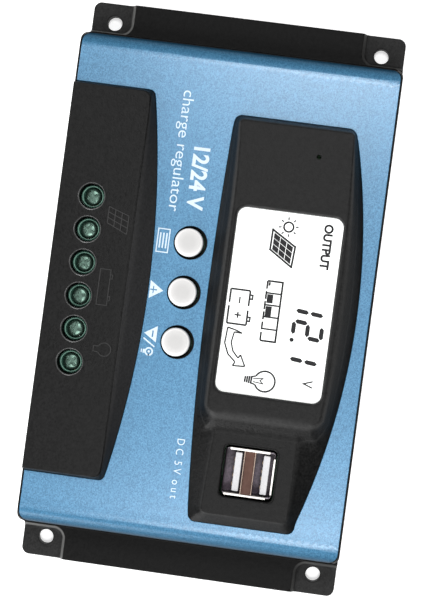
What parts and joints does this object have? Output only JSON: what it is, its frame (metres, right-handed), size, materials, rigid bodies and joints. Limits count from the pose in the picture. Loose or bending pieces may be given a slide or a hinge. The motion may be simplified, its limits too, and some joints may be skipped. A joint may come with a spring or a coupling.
{
  "type": "solar charge controller",
  "caption": "Flat wall-mounted solar charge controller with screw ears, a blue metal face, a display island with USB sockets, round buttons and a hood over screw terminals.",
  "frame": {"origin": "centre of the bounding box in X and Y, on the flat back face", "axes": "+X along the long side in reading direction, +Y from the terminals to the display, +Z out of the face"},
  "size_m": [0.168, 0.0946, 0.0335],
  "materials": {
    "black_abs": "fine spark-eroded texture, matt",
    "blue_aluminium": "light blue metallic coating, satin with a fine grain",
    "clear_acrylic": "clear, polished",
    "display_white": "white backlit display with dark segments",
    "white_plastic": "moulded white plastic",
    "button_plastic": "warm off-white plastic, satin",
    "board": "green solder mask",
    "green_plastic": "dark green moulded plastic",
    "zinc_steel": "zinc plated",
    "plated_steel": "tin plated",
    "brass": "tin-washed brass and copper",
    "bare_aluminium": "extruded or drawn aluminium",
    "black_epoxy": "moulded black epoxy and plastic",
    "ferrite": "powdered iron core"
  },
  "bodies": {
    "housing": {"base_tray": "black_abs", "top_cover": "black_abs", "face_plate": "blue_aluminium", "lcd_window": "clear_acrylic", "lcd_glass": "display_white", "lcd_backlight": "white_plastic", "display_pcb": "board", "status_led": "white_plastic", "usb_shell": "plated_steel", "usb_insulator": "white_plastic", "usb_pcb": "board", "usb_header": "black_epoxy", "terminal_block": "green_plastic", "main_pcb": "board", "heat_sink": "bare_aluminium", "inductor": "ferrite", "mcu": "black_epoxy", "board_header": "black_epoxy", "current_shunt": "brass", "tact_switch_1": "black_epoxy", "capacitor_1": "bare_aluminium", "tact_switch_2": "black_epoxy", "capacitor_2": "bare_aluminium", "tact_switch_3": "black_epoxy", "capacitor_3": "bare_aluminium", "mosfet_1": "black_epoxy", "case_screw_1": "zinc_steel", "mosfet_2": "black_epoxy", "case_screw_2": "zinc_steel", "mosfet_3": "black_epoxy", "case_screw_3": "zinc_steel", "mosfet_4": "black_epoxy", "case_screw_4": "zinc_steel", "clamp_cage_1": "zinc_steel", "contact_bar_1": "brass", "clamp_cage_2": "zinc_steel", "contact_bar_2": "brass", "clamp_cage_3": "zinc_steel", "contact_bar_3": "brass", "clamp_cage_4": "zinc_steel", "contact_bar_4": "brass", "clamp_cage_5": "zinc_steel", "contact_bar_5": "brass", "clamp_cage_6": "zinc_steel", "contact_bar_6": "brass"},
    "button_1": {"button_cap_1": "button_plastic", "switch_plunger_1": "black_epoxy"},
    "button_2": {"button_cap_2": "button_plastic", "switch_plunger_2": "black_epoxy"},
    "button_3": {"button_cap_3": "button_plastic", "switch_plunger_3": "black_epoxy"},
    "screw_1": {"terminal_screw_1": "zinc_steel"},
    "screw_2": {"terminal_screw_2": "zinc_steel"},
    "screw_3": {"terminal_screw_3": "zinc_steel"},
    "screw_4": {"terminal_screw_4": "zinc_steel"},
    "screw_5": {"terminal_screw_5": "zinc_steel"},
    "screw_6": {"terminal_screw_6": "zinc_steel"}
  },
  "joints": [
    {"name": "button_press_1", "type": "slide", "parent": "housing", "child": "button_1", "axis": [0, 0, -1], "range_m": [0, 0.0005], "stiffness_N_per_m": 500, "springref_m": -0.002},
    {"name": "button_press_2", "type": "slide", "parent": "housing", "child": "button_2", "axis": [0, 0, -1], "range_m": [0, 0.0005], "stiffness_N_per_m": 500, "springref_m": -0.002},
    {"name": "button_press_3", "type": "slide", "parent": "housing", "child": "button_3", "axis": [0, 0, -1], "range_m": [0, 0.0005], "stiffness_N_per_m": 500, "springref_m": -0.002},
    {"name": "terminal_screw_turn_1", "type": "hinge", "parent": "housing", "child": "screw_1", "pos_m": [-0.02375, -0.0367, 0.02], "axis": [0, 0, 1], "range_deg": [-1980, 0]},
    {"name": "terminal_screw_turn_2", "type": "hinge", "parent": "housing", "child": "screw_2", "pos_m": [-0.01425, -0.0367, 0.02], "axis": [0, 0, 1], "range_deg": [-1980, 0]},
    {"name": "terminal_screw_turn_3", "type": "hinge", "parent": "housing", "child": "screw_3", "pos_m": [-0.00475, -0.0367, 0.02], "axis": [0, 0, 1], "range_deg": [-1980, 0]},
    {"name": "terminal_screw_turn_4", "type": "hinge", "parent": "housing", "child": "screw_4", "pos_m": [0.00475, -0.0367, 0.02], "axis": [0, 0, 1], "range_deg": [-1980, 0]},
    {"name": "terminal_screw_turn_5", "type": "hinge", "parent": "housing", "child": "screw_5", "pos_m": [0.01425, -0.0367, 0.02], "axis": [0, 0, 1], "range_deg": [-1980, 0]},
    {"name": "terminal_screw_turn_6", "type": "hinge", "parent": "housing", "child": "screw_6", "pos_m": [0.02375, -0.0367, 0.02], "axis": [0, 0, 1], "range_deg": [-1980, 0]}
  ]
}
